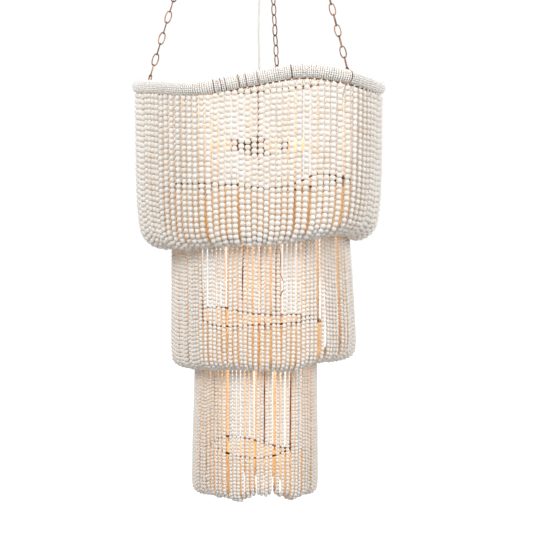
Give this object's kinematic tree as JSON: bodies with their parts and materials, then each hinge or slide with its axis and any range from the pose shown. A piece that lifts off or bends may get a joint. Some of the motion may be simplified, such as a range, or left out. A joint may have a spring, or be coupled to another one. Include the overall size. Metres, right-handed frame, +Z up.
{
  "type": "tiered beaded chandelier",
  "caption": "Tiered chandelier of looped wooden bead strands on wavy wire rings, hung by chains from a ceiling canopy, with a light cluster inside.",
  "frame": {"origin": "the middle of the mounting strap's top face, on the ceiling", "axes": "+Z up into the ceiling, +X to the object's right as seen in the picture, +Y away from the viewer"},
  "size_m": [0.5948, 0.4611, 1.9293],
  "materials": {
    "bronze": "hand-rubbed antique bronze over steel, satin",
    "dark_bronze": "dark bronze enamel, satin",
    "bead_wood": "whitewashed turned wood, matt",
    "bulb_glass": "warm frosted glass",
    "grommet_rubber": "matt",
    "cord_jacket": "pale translucent cord jacket, satin"
  },
  "bodies": {
    "ceiling": {"mounting_strap": "dark_bronze", "canopy": "bronze", "cord_grommet": "grommet_rubber", "canopy_collar": "bronze", "canopy_loop": "bronze", "power_cord_upper": "cord_jacket"},
    "gathering": {"gathering_ring": "bronze"},
    "chandelier": {"ring_1_top": "bronze", "ring_2": "bronze", "ring_3": "bronze", "ring_4_bottom": "bronze", "chain_left": "bronze", "chain_right": "bronze", "chain_back": "bronze", "spider_block": "bronze", "spider_arm_back": "bronze", "spider_arm_left": "bronze", "spider_arm_right": "bronze", "stem": "bronze", "light_hub": "dark_bronze", "socket_1": "dark_bronze", "socket_2": "dark_bronze", "socket_3": "dark_bronze", "socket_4": "dark_bronze", "hanger_rod_front": "bronze", "hanger_rod_back": "bronze", "upper_rod_back": "bronze", "upper_rod_left": "bronze", "upper_rod_right": "bronze", "middle_rod_back": "bronze", "middle_rod_left": "bronze", "middle_rod_right": "bronze", "lower_rod_back": "bronze", "lower_rod_left": "bronze", "lower_rod_right": "bronze", "tier_1_strands_1": "bead_wood", "tier_1_strands_2": "bead_wood", "tier_1_strands_3": "bead_wood", "tier_1_strands_4": "bead_wood", "tier_1_strands_5": "bead_wood", "tier_1_strands_6": "bead_wood", "tier_2_strands_1": "bead_wood", "tier_2_strands_2": "bead_wood", "tier_2_strands_3": "bead_wood", "tier_2_strands_4": "bead_wood", "tier_2_strands_5": "bead_wood", "tier_2_strands_6": "bead_wood", "tier_2_strands_7": "bead_wood", "tier_3_strands_1": "bead_wood", "tier_3_strands_2": "bead_wood", "tier_3_strands_3": "bead_wood", "tier_3_strands_4": "bead_wood", "tier_3_strands_5": "bead_wood", "power_cord_lower": "cord_jacket"},
    "bulb_1_body": {"bulb_1": "bulb_glass"},
    "bulb_2_body": {"bulb_2": "bulb_glass"},
    "bulb_3_body": {"bulb_3": "bulb_glass"},
    "bulb_4_body": {"bulb_4": "bulb_glass"}
  },
  "joints": [
    {"name": "swing_side", "type": "hinge", "parent": "ceiling", "child": "gathering", "pos_m": [0, 0, -0.0803], "axis": [0, 1, 0], "range_deg": [-10, 10], "deforming": ["power_cord_upper"]},
    {"name": "swing_front", "type": "hinge", "parent": "gathering", "child": "chandelier", "pos_m": [0, 0, -0.1167], "axis": [1, 0, 0], "range_deg": [-10, 10]},
    {"name": "bulb_1_release", "type": "slide", "parent": "chandelier", "child": "bulb_1_body", "axis": [0.9511, 0.309, 0], "range_m": [0, 0.026]},
    {"name": "bulb_2_release", "type": "slide", "parent": "chandelier", "child": "bulb_2_body", "axis": [-0.309, 0.9511, 0], "range_m": [0, 0.026]},
    {"name": "bulb_3_release", "type": "slide", "parent": "chandelier", "child": "bulb_3_body", "axis": [-0.9511, -0.309, 0], "range_m": [0, 0.026]},
    {"name": "bulb_4_release", "type": "slide", "parent": "chandelier", "child": "bulb_4_body", "axis": [0.309, -0.9511, 0], "range_m": [0, 0.026]}
  ]
}
